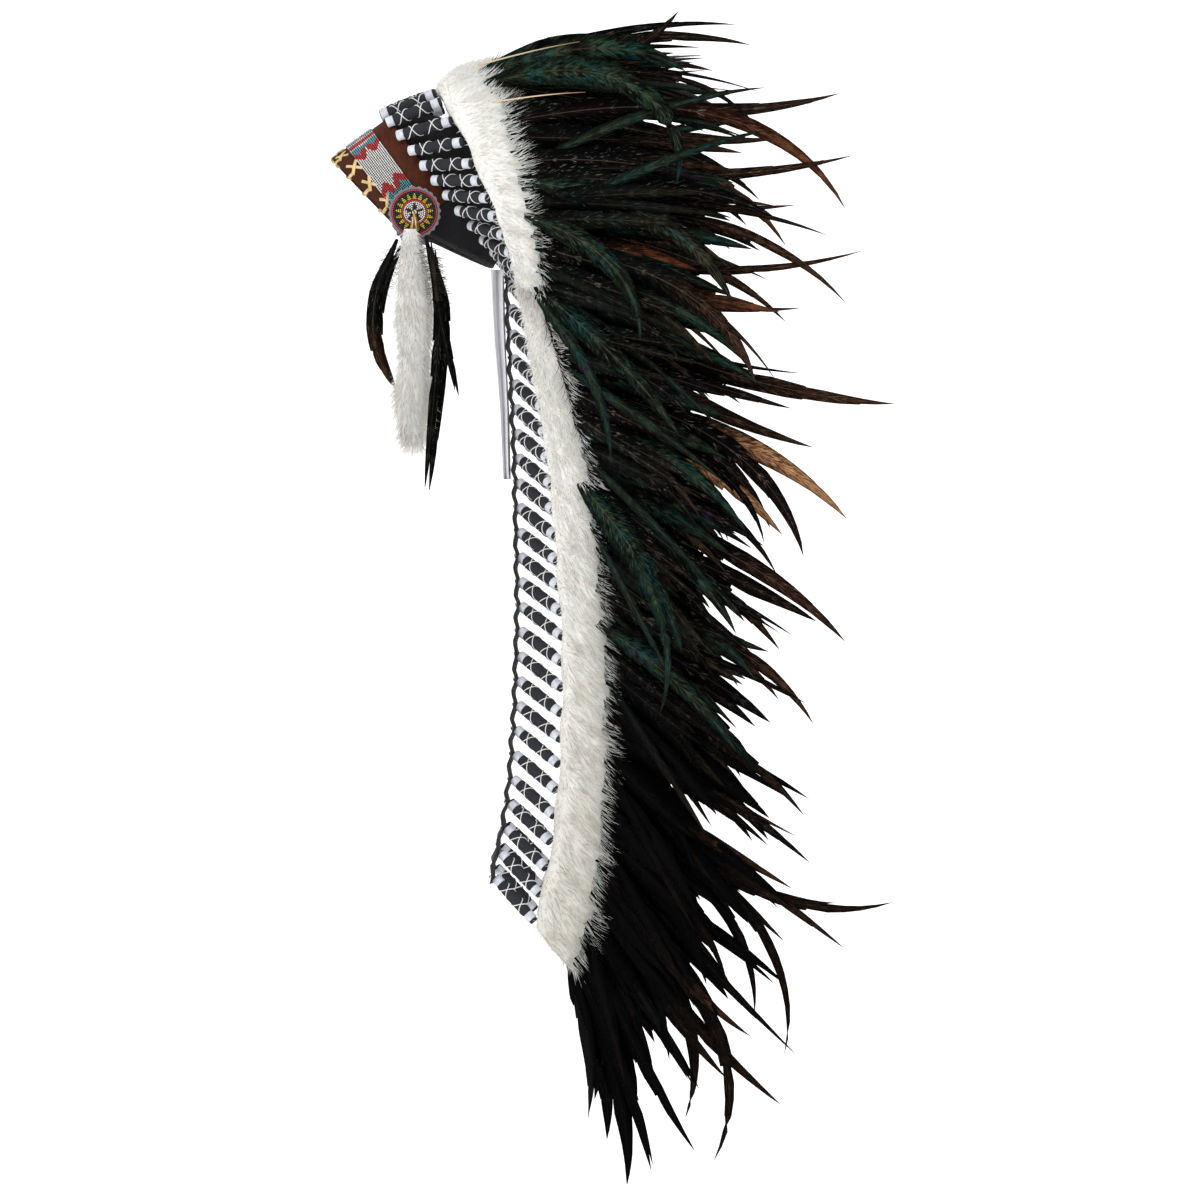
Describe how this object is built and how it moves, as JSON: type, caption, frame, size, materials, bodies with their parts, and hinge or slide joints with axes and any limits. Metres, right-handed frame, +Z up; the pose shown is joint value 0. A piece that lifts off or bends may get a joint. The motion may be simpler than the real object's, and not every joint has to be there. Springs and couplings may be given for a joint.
{
  "type": "feathered headdress",
  "caption": "Feathered headdress with a beaded brow band, a ring of wrapped quills, a white fur ruff, dark tail feathers and long twin trailers.",
  "frame": {"origin": "centre of the head opening, halfway along and across the brow band's ring, where the head carries it", "axes": "+Z up with the headdress worn and its brow raised, -Y the way the wearer faces, +X the wearer's left"},
  "size_m": [0.6376, 0.5544, 1.1342],
  "materials": {
    "black_felt": "matte black wool felt",
    "brown_suede": "red-brown suede",
    "glass_beads": "opaque glass seed beads in rows",
    "grey_felt": "grey felt backing",
    "wrapped_quill": "quill wrapped in black felt with white tape bands and thread",
    "white_tape": "white cotton tape",
    "white_thread": "white sewing thread",
    "black_webbing": "black woven tape",
    "tan_lace": "pale tan leather lace",
    "white_fur": "white rabbit fur",
    "dark_feather": "dark glossy tail feathers with a green sheen",
    "grey_satin": "grey satin ribbon"
  },
  "bodies": {
    "root": {"cap": "black_felt", "brow_band": "brown_suede", "bead_panel": "glass_beads", "rosette_backing_left": "grey_felt", "rosette_left": "glass_beads", "rosette_backing_right": "grey_felt", "rosette_right": "glass_beads", "crown_quill_0": "wrapped_quill", "crown_quill_left_1": "wrapped_quill", "crown_quill_left_2": "wrapped_quill", "crown_quill_left_3": "wrapped_quill", "crown_quill_left_4": "wrapped_quill", "crown_quill_left_5": "wrapped_quill", "crown_quill_left_6": "wrapped_quill", "crown_quill_left_7": "wrapped_quill", "crown_quill_left_8": "wrapped_quill", "crown_quill_left_9": "wrapped_quill", "crown_quill_left_10": "wrapped_quill", "crown_quill_left_11": "wrapped_quill", "crown_quill_left_12": "wrapped_quill", "crown_quill_left_13": "wrapped_quill", "crown_quill_right_1": "wrapped_quill", "crown_quill_right_2": "wrapped_quill", "crown_quill_right_3": "wrapped_quill", "crown_quill_right_4": "wrapped_quill", "crown_quill_right_5": "wrapped_quill", "crown_quill_right_6": "wrapped_quill", "crown_quill_right_7": "wrapped_quill", "crown_quill_right_8": "wrapped_quill", "crown_quill_right_9": "wrapped_quill", "crown_quill_right_10": "wrapped_quill", "crown_quill_right_11": "wrapped_quill", "crown_quill_right_12": "wrapped_quill", "crown_quill_right_13": "wrapped_quill", "trailer_left": "wrapped_quill", "trailer_right": "wrapped_quill", "crown_fur": "white_fur", "trailer_fur_left": "white_fur", "trailer_fur_right": "white_fur", "feathers_left": "dark_feather", "feathers_right": "dark_feather", "ribbon_left": "grey_satin", "ribbon_right": "grey_satin", "fur_drop_left": "white_fur", "drop_feather_left_1": "dark_feather", "drop_feather_left_2": "dark_feather", "drop_feather_left_3": "dark_feather", "fur_drop_right": "white_fur", "drop_feather_right_1": "dark_feather", "drop_feather_right_2": "dark_feather", "drop_feather_right_3": "dark_feather"}
  },
  "joints": []
}
